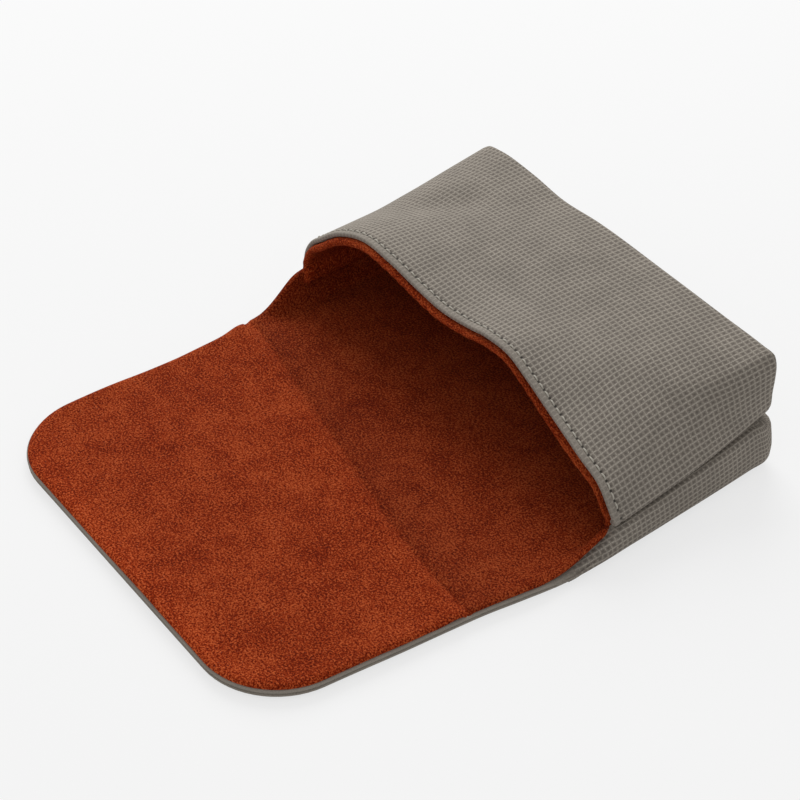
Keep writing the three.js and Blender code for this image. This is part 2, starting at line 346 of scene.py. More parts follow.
paintedHoleShade = addNode(tree, "Math", {"operation": "MULTIPLY"}, {0: hole.outputs[0], 1: sewn})
shade = addNode(tree, "Math", {"operation": "SUBTRACT"}, {0: 1.0, 1: paintedHoleShade.outputs[0]})
for name in ("fibre", "patch"):
    pattern = checkCloth[name]
    tone = addNode(
        tree,
        "MapRange",
        {},
        {
            "Value": noise[name].outputs["Fac"],
            "From Min": pattern["span"][0],
            "From Max": pattern["span"][1],
            "To Min": pattern["tone"][0],
            "To Max": pattern["tone"][1],
        },
    )
    shade = addNode(
        tree, "Math", {"operation": "MULTIPLY"}, {0: shade.outputs[0], 1: tone.outputs[0]}
    )
tinted = addNode(
    tree, "VectorMath", {"operation": "SCALE"}, {0: hemmed.outputs[2], "Scale": shade.outputs[0]}
)
# The relief: raised yarn crests where the check shows, and fibre grain all over.
shown = addNode(tree, "Math", {"operation": "SUBTRACT", "use_clamp": True}, {0: 1.0, 1: plain})
crest = addNode(
    tree, "Math", {"operation": "POWER"}, {0: grid.outputs[0], 1: checkCloth["crestPower"]}
)
raised = addNode(
    tree, "Math", {"operation": "MULTIPLY"}, {0: crest.outputs[0], 1: shown.outputs[0]}
)
depth = addNode(
    tree,
    "Math",
    {"operation": "MULTIPLY_ADD"},
    {0: fibre, 1: checkCloth["fibreRelief"], 2: raised.outputs[0]},
)
bump = addNode(
    tree,
    "Bump",
    {},
    {"Height": depth.outputs[0], "Strength": 0.55, "Distance": checkCloth["relief"] * mm},
)
tree.links.new(tinted.outputs[0], shader.inputs["Base Color"])
tree.links.new(bump.outputs[0], shader.inputs["Normal"])
shader.inputs["Roughness"].default_value = 0.86
shader.inputs["Sheen Weight"].default_value = 0.3
shader.inputs["Sheen Roughness"].default_value = 0.45
shader.inputs["Sheen Tint"].default_value = linearColour("b8b0a4")
shader.inputs["Specular IOR Level"].default_value = 0.25

# Brushed suede lining: a rust pile of short matted hairs that lie in faint patches. Single hairs are
# too fine to show, so they are drawn as tufts about half a millimetre wide.
suedePile = {
    "tones": ((0.54, "591100"), (0.645, "8f2b07"), (0.75, "be582c")),
    "tufts": {"size": 0.5263, "detail": 3.0, "roughness": 0.65, "distortion": 0.4},
    "nap": {"size": 6.25, "detail": 3.0, "roughness": 0.6, "distortion": 0.6, "weight": 0.17},
    "cloud": {"size": 25.0, "detail": 2.0, "roughness": 0.5, "distortion": 0.5, "weight": 0.12},
    "relief": 0.6,
    "napAndShade": 0.31,  # how much darker the pile is behind the crease: painted shade from the pocket, and partly the brushed nap
    "napAndShadeFar": 0.6,  # the share of that which is left far behind it
    "napAndShadeReach": 12.0,
    "napAndShadeFade": 0.5,
    "rim": 0.3,  # painted sheen: how much paler the end of the flap is
    "endSheenReach": 8.0,
}
rustSuede, tree, shader = newMaterial("rustSuede")
place = addNode(tree, "UVMap", {"uv_map": "cloth"}).outputs["UV"]
noise = {}
for name in ("tufts", "nap", "cloud"):
    pattern = suedePile[name]
    noise[name] = addNode(
        tree,
        "TexNoise",
        {},
        {
            "Vector": place,
            "Scale": 1.0 / pattern["size"],
            "Detail": pattern["detail"],
            "Roughness": pattern["roughness"],
            "Distortion": pattern["distortion"],
        },
    ).outputs["Fac"]
matted = noise["tufts"]
for name in ("nap", "cloud"):
    matted = addNode(
        tree,
        "Math",
        {"operation": "MULTIPLY_ADD"},
        {0: noise[name], 1: suedePile[name]["weight"], 2: matted},
    ).outputs[0]
pile = addNode(tree, "ValToRGB", {}, {"Fac": matted})
setTones(pile, suedePile["tones"])
# Painted shade behind the crease (partly brushed nap) and a painted sheen at the flap end, read from the
# pieces.
napShadeAndSheen = addNode(tree, "Attribute", {"attribute_name": "napShadeAndSheen"}).outputs["Fac"]
tinted = addNode(
    tree, "VectorMath", {"operation": "SCALE"}, {0: pile.outputs["Color"], "Scale": napShadeAndSheen}
)
bump = addNode(
    tree, "Bump", {}, {"Height": noise["tufts"], "Strength": 0.8, "Distance": suedePile["relief"] * mm}
)
tree.links.new(tinted.outputs[0], shader.inputs["Base Color"])
tree.links.new(bump.outputs[0], shader.inputs["Normal"])
shader.inputs["Roughness"].default_value = 0.97
shader.inputs["Specular IOR Level"].default_value = 0.1
shader.inputs["Sheen Weight"].default_value = 0.12
shader.inputs["Sheen Roughness"].default_value = 0.6
shader.inputs["Sheen Tint"].default_value = linearColour("c0602e")

# Sewing thread: twisted grey polyester, a shade paler than the cloth so that each stitch shows.
sewingThread = plainMaterial("greyThread", "b3ada1", 0.7)

# Foam sheet: pale, matt and closed-celled.
foamSheet = plainMaterial("paddingFoam", "c9c6bd", 0.95)

# Seam edge: the raw turned edge of the outer cloth, plain grey.
turnedCloth = plainMaterial("turnedClothEdge", "6a6761", 0.9)

# Nickel-plated magnet disc: bright satin metal, sewn in out of sight.
nickelPlate = plainMaterial("nickelMagnet", "b8b8b4", 0.3, 1.0)
for node in ("front_magnet", "flap_magnet"):
    frame["nodes"][node].data.materials.clear()
    frame["nodes"][node].data.materials.append(nickelPlate)
print("materials made")

# The front panel is one cloth: top, both upper side walls and the upper closed end. Its three curves
# run over the top from the left seam to the right one, as (x, y, z) or, in the middle, as (x, z), and
# the turns carry them in at both seams.
lid = {
    "lip": [
        (-67.2, -34.4, 14.6),
        (-67.9, -34.0, 17.2),
        (-67.6, -33.6, 20.4),
        (-65.6, -33.2, 24.2),
        (-61.0, -33.0, 28.3),
        (-54.0, -31.9, 33.8),
        (-43.2, -30.3, 37.7),
        (-29.8, -30.0, 37.8),
        (-16.0, -29.3, 35.3),
        (-6.5, -28.9, 34.3),
        (2.8, -28.2, 34.9),
        (12.2, -27.9, 36.8),
        (21.5, -27.3, 36.4),
        (31.0, -27.6, 33.2),
        (40.7, -28.2, 29.4),
        (56.2, -30.0, 25.2),
        (65.2, -30.2, 21.6),
        (69.5, -30.4, 17.3),
        (71.0, -29.9, 13.8),
        (71.5, -29.2, 11.1),
    ],
    "middle": [
        (-68.2, 15.8),
        (-68.3, 20.0),
        (-66.5, 25.1),
        (-62.8, 29.4),
        (-57.3, 32.7),
        (-50.0, 35.1),
        (-40.0, 36.5),
        (-20.0, 36.8),
        (0.0, 36.2),
        (20.0, 35.7),
        (34.0, 35.1),
        (46.0, 33.4),
        (56.0, 30.2),
        (63.0, 25.2),
        (67.4, 20.3),
        (69.3, 17.6),
        (70.1, 15.3),
    ],
    "closedEnd": [
        (-66.4, 30.0, 19.2),
        (-66.6, 30.0, 23.0),
        (-66.0, 30.0, 29.5),
        (-64.2, 30.0, 34.0),
        (-61.3, 30.0, 36.1),
        (-56.0, 30.0, 37.3),
        (-40.0, 30.0, 37.4),
        (-25.0, 29.5, 36.6),
        (-10.0, 30.0, 37.3),
        (20.0, 30.0, 37.2),
        (45.0, 30.0, 36.8),
        (60.0, 30.0, 36.6),
        (64.6, 30.0, 36.2),
        (65.7, 30.0, 34.0),
        (66.0, 30.0, 29.0),
        (66.0, 29.6, 24.0),
        (65.9, 29.0, 18.2),
    ],
    "lipTurn": ([(-63.6, -34.2, 13.2), (-65.9, -34.4, 13.4)], [(70.2, -28.8, 9.5), (67.6, -28.5, 9.7)]),
    "middleTurn": ([(-64.9, 14.4), (-67.1, 14.6)], [(68.8, 13.7), (66.2, 13.9)]),
    "endTurn": ([(-63.6, 27.6, 17.6), (-65.4, 29.3, 17.9)], [(64.6, 28.0, 16.7), (62.4, 26.6, 16.9)]),
    "cornerAt": (-61.3, 64.6),  # the two upper corners of the closed end
    "halfWidth": 66.0,
    "insetAbove": (24.0, 35.0),  # heights over which an inner layer gets lower
    "endBulge": 2.2,
    "slackAbove": (16.0, 26.0),  # heights over which the wall turns into the slack top
    "slackPower": 0.8,
    "slack": ({"seed": 11, "wave": 34.0, "height": 0.22}, {"seed": 12, "wave": 15.0, "height": 0.07}),
    "hollows": (
        {"centre": (-47.0, -2.0), "heading": 53.0, "long": 17.0, "short": 6.5, "depth": 1.5},
        {"centre": (30.0, 2.0), "heading": 20.0, "long": 24.0, "short": 12.0, "depth": 0.8},
    ),
    "sideColumns": 26,
    "topColumns": 150,
    "hemRows": 24,
    "hemReach": 8.0,
    "rows": 62,
    "span": 62.0,  # from the lip to the closed end
    "relaxPasses": 5,
    "relaxPull": 0.5,
    "relaxTop": (15.0, 3.0),  # distances from the corner over which it is smoothed
    "relaxWall": (13.0, 3.0),
    "wallWidth": 130.0,
}


def lidCurves(inset, below):
    # The outer layer turns in along the seam, and an inner one reaches below the seam by a given depth.
    lip = np.array(lid["lip"])
    middle = np.array([(x, 0.0, z) for x, z in lid["middle"]])
    end = np.array(lid["closedEnd"])
    if inset == 0.0:
        turns = [(x, 0.0, z) for side in lid["middleTurn"] for x, z in side]
        lip = np.concatenate([lid["lipTurn"][0], lip, lid["lipTurn"][1]])
        middle = np.concatenate([turns[:2], middle, turns[2:]])
        end = np.concatenate([lid["endTurn"][0], end, lid["endTurn"][1]])
    else:
        deeper = np.array((0.0, 0.0, -below))
        lip, middle, end = (
            np.concatenate([curve[:1] + deeper, curve, curve[-1:] + deeper])
            for curve in (lip, middle, end)
        )
    end[:, 2] -= inset * ease(*lid["insetAbove"], end[:, 2])
    end[:, 0] *= 1.0 - inset / lid["halfWidth"]
    end[:, 1] -= inset
    return lip, middle, end


def movedIn(curve, inset):
    # Each point of a section moves square to the section, towards the inside of the pouch.
    along = unit(np.gradient(curve[:, [0, 2]], axis=0))
    return curve + inset * np.stack([along[:, 1], 0.0 * along[:, 0], -along[:, 0]], 1)


def bulgeAt(across):
    # The closed end stands out by its bulge, less the fourth power of the way from middle to corner.
    return lid["endBulge"] * (1.0 - (2.0 * across - 1.0) ** 4)


def lidTop(inset, coarse, below):
    # A smooth sweep through three curves, lip, middle and closed end, each read at equal shares of its
    # length. Slack and dents are soft waves that die out at the lip, the closed end and the walls.
    lip, middle, end = lidCurves(inset, below)
    sides = lid["sideColumns"] // coarse
    run = lengthAlong(end)
    narrower = 1.0 - inset / lid["halfWidth"]
    corners = [run[np.argmin(np.abs(end[:, 0] - at * narrower))] / run[-1] for at in lid["cornerAt"]]
    shares = np.concatenate(
        [
            np.linspace(0.0, corners[0], sides),
            np.linspace(corners[0], corners[1], lid["topColumns"] // coarse)[1:],
            np.linspace(corners[1], 1.0, sides)[1:],
        ]
    )
    first = movedIn(curveAt(lip, shares), inset)
    half = movedIn(curveAt(middle, shares), inset)
    last = curveAt(end, shares)
    half[:, 1] = 0.5 * (first[:, 1] + last[:, 1])
    hemShare = lid["hemReach"] / lid["span"]
    along = np.concatenate(
        [
            np.linspace(0.0, hemShare, lid["hemRows"] // coarse),
            np.linspace(hemShare, 1.0, lid["rows"] // coarse)[1:],
        ]
    )
    top = passThrough([0.0, 0.5, 1.0], np.stack([first, half, last]), along)
    x, y, z = np.moveaxis(top, -1, 0)
    loose = ease(*lid["slackAbove"], z) * np.sin(np.pi * along[:, None]) ** lid["slackPower"]
    slack = sum(ripple(x, y, **wave) for wave in lid["slack"])
    dents = sum(hollow(x, y, **dent) for dent in lid["hollows"])
    top[..., 2] = z + loose * (slack - dents)
    reach = np.linalg.norm(last - first, axis=1) * along[:, None]
    uv = np.stack(np.broadcast_arrays(lengthAlong(last), reach), -1)
    return top, uv, sides


def lidSurface(inset, coarse=1, below=0.0):
    # The top, and an end wall that hangs from its last row: a straight blend from the wall's left edge
    # to its right one, moved to meet the top and bulged to its foot. The corner between is smoothed.
    top, uvTop, sides = lidTop(inset, coarse, below)
    last = top[-1]
    ridge = slice(sides - 1, len(last) - sides + 1)
    leftEdge = last[:sides][::-1]
    rightEdge = last[-sides:]
    across = ((last[ridge, 0] - leftEdge[0, 0]) / (rightEdge[0, 0] - leftEdge[0, 0]))[None, :, None]
    down = np.linspace(0.0, 1.0, sides)[:, None, None]
    wall = leftEdge[:, None] * (1.0 - across) + rightEdge[:, None] * across
    wall = wall + (last[ridge] - wall[0])[None] * (1.0 - down)
    wall[..., 1] += bulgeAt(across[..., 0]) * np.sin(0.5 * np.pi * down[..., 0])
    inner = (slice(1, None), slice(1, -1))
    topIndex = gridIndex(top)
    wallIndex = np.empty(wall.shape[:2], int)
    wallIndex[0] = topIndex[-1, ridge]
    wallIndex[:, 0] = topIndex[-1, :sides][::-1]
    wallIndex[:, -1] = topIndex[-1, -sides:]
    wallIndex[inner] = gridIndex(wall[inner], topIndex.size)
    points = np.concatenate([top.reshape(-1, 3), wall[inner].reshape(-1, 3)])
    quads = np.concatenate([quadsOf(topIndex), quadsOf(wallIndex)])
    width, reach = uvTop[-1].T
    fall = down[..., 0] * width[sides - 1]
    uvWall = np.stack(np.broadcast_arrays(width[ridge], reach[ridge] + fall), -1)
    uv = np.concatenate([uvTop.reshape(-1, 2), uvWall[inner].reshape(-1, 2)])
    pullTop = lid["relaxPull"] * ease(*lid["relaxTop"], closedEndY - inset - top[..., 1])
    pullTop[:, [0, -1]] = 0.0
    nearest = np.minimum(fall, np.minimum(across, 1.0 - across)[..., 0] * lid["wallWidth"])
    pullWall = lid["relaxPull"] * ease(*lid["relaxWall"], nearest)
    pullWall[-1] = 0.0
    pull = np.concatenate([pullTop.ravel(), pullWall[inner].ravel()])
    return relax(points, quads, pull, lid["relaxPasses"]), quads, uv, topIndex


def lipFrame(points, topIndex):
    # At each place on the lip: the way out of the mouth, and the way out of the cloth.
    top = points[topIndex]
    ahead = unit(top[0] - top[2])
    sideways = unit(np.gradient(top[0], axis=0))
    return ahead, unit(np.cross(sideways, -ahead))


def addRoll(sheet, topIndex, ahead, over, nose, radius, roll):
    # From the lip the cloth turns half round, a nose far and two radii over, and is tucked straight back.
    points, quads, uv = sheet
    edge = points[topIndex[0]]
    turn = np.linspace(0.0, np.pi, roll["turnSteps"])[1:, None, None]
    back = np.linspace(0.0, roll["tuck"], roll["tuckSteps"])[1:, None, None]
    turned = edge + ahead * nose * np.sin(turn) + over * radius * (1.0 - np.cos(turn))
    tucked = edge + over * 2.0 * radius - ahead * back
    strip = np.concatenate([turned, tucked])[::-1]
    index = np.concatenate([gridIndex(strip, len(points)), topIndex[:1]])
    run = np.concatenate([roll["radius"] * turn, roll["radius"] * np.pi + back])[::-1, :, 0]
    uvStrip = np.stack(np.broadcast_arrays(uv[topIndex[0], 0], -run), -1)
    return (
        np.concatenate([points, strip.reshape(-1, 3)]),
        np.concatenate([quads, quadsOf(index)]),
        np.concatenate([uv, uvStrip.reshape(-1, 2)]),
    )


# Front cloth: its lip is a rolled hem with a groove that the stitches draw in.
frontSheet = {
    "thickness": 0.6,
    "radius": 0.75,
    "turnSteps": 9,
    "tuck": 6.0,
    "tuckSteps": 7,
    "grooveWidth": 0.55,
    "grooveDepth": 0.28,
    "hemTone": 0.55,
    "hemFade": (0.5, -0.3),  # distances past the stitch row
    "sewnWithin": (1.6, 1.0),  # distances to both sides of it
}
points, quads, uv, topIndex = lidSurface(0.0)
ahead, outward = lipFrame(points, topIndex)
radius = frontSheet["radius"]
points, quads, uv = addRoll((points, quads, uv), topIndex, ahead, -outward, radius, radius, frontSheet)
fromRow = uv[:, 1] - checkCloth["stitchFrom"]
groove = frontSheet["grooveDepth"] * np.exp(-((fromRow / frontSheet["grooveWidth"]) ** 2))
rowNormal = np.zeros_like(points)
rowNormal[topIndex] = outward
points = points - rowNormal * groove[:, None]
marks = {
    "plainHem": frontSheet["hemTone"] * ease(*frontSheet["hemFade"], fromRow),
    "sewnRow": ease(*frontSheet["sewnWithin"], np.abs(fromRow)),
}
frontCloth = addPiece("frontCloth", points, quads, uv, outerCloth, frontSheet["thickness"], marks=marks)
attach(frontCloth, "pouch")
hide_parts("front_outer")
print("front cloth made")

# The stitch row follows the hem: each stitch is a short round bar whose ends dip into the cloth.
frontStitch = {
    "length": 2.25,
    "radius": 0.27,
    "endGirth": 0.55,
    "rise": 0.46,
    "risePower": 0.6,
    "sink": 0.2,
    "skipped": 3,  # at each end of the row
    "steps": 9,
    "sides": 8,
}
# The row crosses each column of the grid between the last point before it and the first one past it.
frontTop = points[topIndex]
beyond = fromRow[topIndex]
columns = np.arange(frontTop.shape[1])
row = np.argmax(beyond > 0.0, axis=0)
short = beyond[row - 1, columns]
share = (short / (short - beyond[row, columns]))[:, None]
stitchRow = frontTop[row - 1, columns] * (1.0 - share) + frontTop[row, columns] * share
run = uv[topIndex[0], 0]
pitch = checkCloth["stitchPitch"]
stitches = np.arange(frontStitch["skipped"], run[-1] // pitch - frontStitch["skipped"])
starts = (stitches + 1.0) * pitch - 0.5 * frontStitch["length"]
steps = np.linspace(0.0, 1.0, frontStitch["steps"])
spots = starts[:, None] + steps * frontStitch["length"]
centre = np.stack([np.interp(spots, run, stitchRow[:, axis]) for axis in range(3)], -1)
up = unit(np.stack([np.interp(spots, run, outward[:, axis]) for axis in range(3)], -1))
aside = np.cross(up, unit(np.gradient(centre, axis=1)))
arch = np.sin(np.pi * steps)
lift = frontStitch["rise"] * arch ** frontStitch["risePower"] - frontStitch["sink"]
centre = centre + up * lift[:, None]
girth = frontStitch["radius"] * (frontStitch["endGirth"] + (1.0 - frontStitch["endGirth"]) * arch)
around = np.linspace(0.0, 2.0 * np.pi, frontStitch["sides"], endpoint=False)[:, None]
spokes = aside[:, :, None] * np.cos(around) + up[:, :, None] * np.sin(around)
rings = centre[:, :, None] + girth[:, None, None] * spokes
index = gridIndex(rings)
index = np.concatenate([index, index[..., :1]], -1)
quads = np.concatenate([quadsOf(stitch) for stitch in index])
uv = np.zeros((rings[..., 0].size, 2))
lipStitch = addPiece("lipStitch", rings.reshape(-1, 3), quads, uv, sewingThread)
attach(lipStitch, "pouch")
print("lip stitches made:", len(starts))

# Front foam: the same form as the cloth, further in, and set back from the lip.
frontPad = {"inset": 2.1, "below": 0.5, "thickness": 1.5, "setBack": 3.0, "coarse": 3}
points, quads, uv, topIndex = lidSurface(frontPad["inset"], frontPad["coarse"], frontPad["below"])
points[topIndex[0], 1] += frontPad["setBack"]
frontFoam = addPiece("frontFoam", points, quads, uv, foamSheet, frontPad["thickness"], 0.0)
dressFoam(frontFoam, "pouch", "front_padding")

# Front lining: it stands proud of the lip as a fuzzy roll that gets slimmer to the right.
frontLining = {
    "inset": 4.1,
    "below": 3.0,
    "thickness": 0.7,
    "radius": 1.25,
    "slim": (0.95, 0.5),  # shares of the radius at the left and at the right
    "slimFrom": (-20.0, 50.0),
    "nose": 1.1,  # how far the roll stands out, in radii
    "fuzz": {"seed": 31, "wave": 3.0, "height": 0.12},
    "proud": 0.5,
    "leftProud": 0.7,
    "leftFrom": (-58.0, -64.0),
    "turnSteps": 11,
    "tuck": 4.0,
    "tuckSteps": 6,
}
points, quads, uv, topIndex = lidSurface(frontLining["inset"], below=frontLining["below"])
ahead, outward = lipFrame(points, topIndex)
left = ease(*frontLining["leftFrom"], points[topIndex[0], :1])
points[topIndex[0]] += ahead * (frontLining["proud"] + frontLining["leftProud"] * left)
slim = ease(*frontLining["slimFrom"], points[topIndex[0], :1])
radius = frontLining["radius"] * ((1.0 - slim) * frontLining["slim"][0] + slim * frontLining["slim"][1])
width = uv[topIndex[0], 0]
nose = radius * frontLining["nose"] + ripple(width, 0.0 * width, **frontLining["fuzz"])[:, None]
points, quads, uv = addRoll((points, quads, uv), topIndex, ahead, outward, nose, radius, frontLining)
quads = quads[:, ::-1]
marks = {"napShadeAndSheen": np.ones(len(points))}
frontSuede = addPiece("frontSuede", points, quads, uv, rustSuede, frontLining["thickness"], marks=marks)
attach(frontSuede, "pouch")
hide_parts("front_lining")
print("front lining and foam made")

# Back, spine and flap are cut in one: a flat floor with a rim carried round its outline. Its lines are
# given as (y, x) for the two outlines and as (y, z) for the heights of the two lower walls.
tray = {
    "left": [
        (-141.0, -63.8),
        (-110.0, -64.7),
        (-80.0, -64.7),
        (-66.0, -65.4),
        (-54.0, -67.2),
        (-36.0, -68.8),
        (0.0, -68.4),
        (33.0, -67.4),
    ],
    "right": [
        (-141.0, 65.4),
        (-110.0, 67.4),
        (-95.0, 68.6),
        (-82.0, 69.4),
        (-70.0, 70.3),
        (-60.0, 71.6),
        (-48.0, 72.9),
        (-36.0, 73.0),
        (-26.0, 72.4),
        (-10.0, 71.3),
        (7.0, 70.0),
        (33.0, 67.6),
    ],
    "leftHeight": [
        (-60.0, 3.4),
        (-52.0, 6.0),
        (-45.0, 10.8),
        (-40.0, 13.3),
        (-35.0, 14.4),
        (-20.0, 14.8),
        (0.0, 15.7),
        (26.0, 18.9),
        (40.0, 19.3),
    ],
    "rightHeight": [
        (-60.0, 3.4),
        (-48.0, 3.9),
        (-42.0, 5.1),
        (-35.0, 7.9),
        (-28.0, 11.0),
        (-14.0, 13.1),
        (0.0, 15.1),
        (14.0, 16.6),
        (26.0, 17.9),
        (40.0, 18.4),
    ],
    "sideToSide": (-55.0, 55.0),
    "flapOver": 1.2,  # how far the soft edge is past the CAD flap
    "edge": 7.0,  # width of the rim round the floor
    "flapCorner": 22.0,
    "flapCornerRows": 16,
    "endCorner": 0.6,
    "endCornerRows": 9,
    "endBulgeFrom": (8.0, 23.0),
    "cornerReach": 0.2,
    "cutY": -50.0,  # where the two pieces meet, on the spine
    "cutRow": 0.05,
    "leastRow": 0.4,  # of the spacing
    "floor": 0.05,
    "flapToWall": (-56.0, -38.0),  # where the turned edge becomes the wall of the pocket
    "lipToWall": (-33.0, -29.0),
    "flapToFoamWall": (-45.0, -30.0),
    "bendReach": 7.5,  # the reach to both sides of a fold
    "columns": 124,
    "spacing": 1.0,
    "clothRings": 30,
    "suedeRings": 26,
    "clothThickness": 0.6,
    "suedeThickness": 0.7,
    "plainAbove": (0.5, 1.0),
    "plainAhead": (-38.0, -50.0),
}


def trayLine(name, y):
    # One of the tray's lines of points, as a smooth curve read at y.
    return passThrough(*np.array(tray[name]).T, y)


def heightAt(x, y):
    # The height of the lower wall: its left line at the left, easing to its right line at the right.
    share = ease(*tray["sideToSide"], x)
    return trayLine("leftHeight", y) * (1.0 - share) + trayLine("rightHeight", y) * share


def rowsAcross(y, inset, columns):
    # Each row runs straight from the left outline to the right one, both moved in by the inset.
    left = trayLine("left", y) + inset
    right = trayLine("right", y) - inset
    across = np.linspace(0.0, 1.0, columns)
    return left[:, None] * (1.0 - across) + right[:, None] * across


def trayFloor(part, columns, spacing):
    # Rows run across the cloth. Near the flap end and the closed end they follow round corners.
    inset = tray["edge"]
    cut = tray["cutY"]
    least = tray["leastRow"] * spacing
    if part == "flap":
        corner = tray["flapCorner"] - inset
        end = flapEndY - tray["flapOver"] + inset
        angle = np.linspace(0.5 * np.pi, 0.0, tray["flapCornerRows"])
        bend = end + corner * (1.0 - np.sin(angle))
        rest = np.arange(end + corner + spacing, cut - least, spacing)
        y = np.concatenate([bend, rest, [cut - tray["cutRow"], cut]])
        back = np.concatenate([corner * (1.0 - np.cos(angle)), np.zeros(len(rest) + 2)])
    else:
        corner = tray["endCorner"]
        end = closedEndY - inset
        angle = np.linspace(0.0, 0.5 * np.pi, tray["endCornerRows"])
        bend = end - corner * (1.0 - np.sin(angle))
        rest = np.arange(cut + spacing, end - corner - least, spacing)
        y = np.concatenate([[cut, cut + tray["cutRow"]], rest, bend])
        back = np.concatenate([np.zeros(len(rest) + 2), corner * (1.0 - np.cos(angle))])
    x = rowsAcross(y, inset + back, columns)
    y = np.broadcast_to(y[:, None], x.shape).copy()
    if part == "back":
        y += bulgeAt(np.linspace(0.0, 1.0, columns)) * ease(*tray["endBulgeFrom"], y)
    return x, y


def borderOf(floor, part):
    # The free edge of a floor in order, where it lies, and the level way outward at each place on it.
    index = gridIndex(floor)
    if part == "flap":
        border = np.concatenate([index[::-1, 0], index[0, 1:], index[1:, -1]])
    else:
        border = np.concatenate([index[:, -1], index[-1, ::-1][1:], index[::-1, 0][1:]])
    start = floor.reshape(-1, 3)[border]
    travel = np.gradient(start[:, :2], lengthAlong(start[:, :2]), axis=0)
    return border, start, unit(np.stack([travel[:, 1], -travel[:, 0]], 1))


def trayRim(floor, part, profile, rings):
    # The floor, and at each place on its border a profile drawn outward and upward. At the two corners
    # of the closed end the profile reaches further out.
    border, start, outward = borderOf(floor, part)
    if part == "back":
        outward = outward * (1.0 + tray["cornerReach"] * (2.0 * outward[:, :1] * outward[:, 1:]) ** 2)
    shape = profile(start[:, 0], start[:, 1])
    knots = np.arange(shape.shape[1])
    basis = passThrough(knots, np.eye(len(knots)), np.linspace(0.0, knots[-1], rings))
    drawn = np.einsum("vm,kmc->kvc", basis, shape)
    rim = np.empty((len(border), rings, 3))
    rim[..., :2] = start[:, None, :2] + outward[:, None] * drawn[..., :1]
    rim[..., 2] = start[:, 2:] + drawn[..., 1] - drawn[:, :1, 1]
    steps = np.linalg.norm(np.diff(drawn, axis=1), axis=2)
    run = np.concatenate([np.zeros((len(border), 1)), np.cumsum(steps, axis=1)], 1)
    uvRim = start[:, None, :2] + outward[:, None] * run[..., None]
    index = gridIndex(floor)
    rimIndex = np.concatenate([border[:, None], gridIndex(rim[:, 1:], index.size)], 1)
    points = np.concatenate([floor.reshape(-1, 3), rim[:, 1:].reshape(-1, 3)])
    quads = np.concatenate([quadsOf(index), quadsOf(rimIndex)])
    uv = np.concatenate([floor.reshape(-1, 3)[:, :2], uvRim[:, 1:].reshape(-1, 2)])
    return points, quads, uv


def mixProfiles(y, low, high, limits):
    # The low profile before the limits in y, the high one past them, and an eased mix between.
    share = ease(*limits, y)[:, None, None]
    return low * (1.0 - share) + high * share


def sameProfile(x, steps):
    # One profile, its steps given as (outward, height), for every place on the border.
    return np.broadcast_to(np.array(steps)[None], (len(x), len(steps), 2))


def risingProfile(x, y, steps):
    # Each step is (outward, constant height, share of the wall height).
    outward, constant, share = np.array(steps).T
    height = constant + share * heightAt(x, y)[:, None]
    return np.stack([np.broadcast_to(outward, height.shape), height], -1)


def clothProfile(x, y):
    # On the flap a turned edge in two layers, and round the pocket a wall that rolls in at its seam.
    flap = sameProfile(
        x,
        [
            (0.0, 0.0),
            (2.5, 0.05),
            (5.0, 0.35),
            (6.0, 0.65),
            (6.7, 1.0),
            (6.8, 1.5),
            (6.2, 1.85),
            (6.8, 2.2),
            (6.95, 2.9),
            (6.2, 3.3),
            (5.1, 3.3),
            (4.1, 3.2),
        ],
    )
    wall = risingProfile(
        x,
        y,
        [
            (0.0, 0.0, 0.0),
            (2.6, 0.05, 0.0),
            (5.2, 0.5, 0.0),
            (7.2, 1.5, 0.06),
            (7.7, 1.1, 0.28),
            (7.5, 0.2, 0.52),
            (7.2, -0.9, 0.74),
            (6.8, -2.9, 1.0),
            (6.1, -2.15, 1.0),
            (5.0, -1.95, 1.0),
            (4.0, -1.85, 1.0),
            (3.7, -1.2, 1.0),
        ],
    )
    return mixProfiles(y, flap, wall, tray["flapToWall"])


def suedeProfile(x, y):
    # Flat on the flap, up and over the low edge ahead of the mouth, and up the wall in the pocket.
    flap = sameProfile(
        x,
        [(0.0, 0.0), (2.0, 0.1), (4.0, 0.25), (5.4, 0.15), (6.35, -0.3), (6.6, -0.75), (6.2, -1.1)],
    )
    lip = risingProfile(
        x,
        y,
        [
            (0.0, 0.0, 0.0),
            (1.2, 0.4, 0.0),
            (2.4, -1.9, 0.5),
            (3.0, -3.9, 1.0),
            (3.8, -3.3, 1.0),
            (4.6, -3.5, 1.0),
            (5.0, -4.2, 1.0),
        ],
    )
    wall = risingProfile(
        x,
        y,
        [
            (0.0, 0.0, 0.0),
            (1.2, 0.3, 0.0),
            (2.2, -0.6, 0.22),
            (2.6, -1.6, 0.4),
            (2.7, -2.8, 0.6),
            (2.7, -4.2, 0.82),
            (2.7, -5.5, 1.0),
        ],
    )
    return mixProfiles(y, mixProfiles(y, flap, lip, tray["flapToWall"]), wall, tray["lipToWall"])


def foamProfile(x, y):
    # Flat ahead of the mouth, and up between the cloth and the lining round the pocket.
    flap = sameProfile(x, [(0, 0), (2.0, 0.0), (3.6, 0.0), (4.6, 0.0), (5.2, 0.0)])
    wall = risingProfile(x, y, [(0, 0, 0), (2.4, 0.2, 0), (4.2, 1.6, 0), (5.0, 0.6, 0.4), (4.9, -5.6, 1)])
    return mixProfiles(y, flap, wall, tray["flapToFoamWall"])


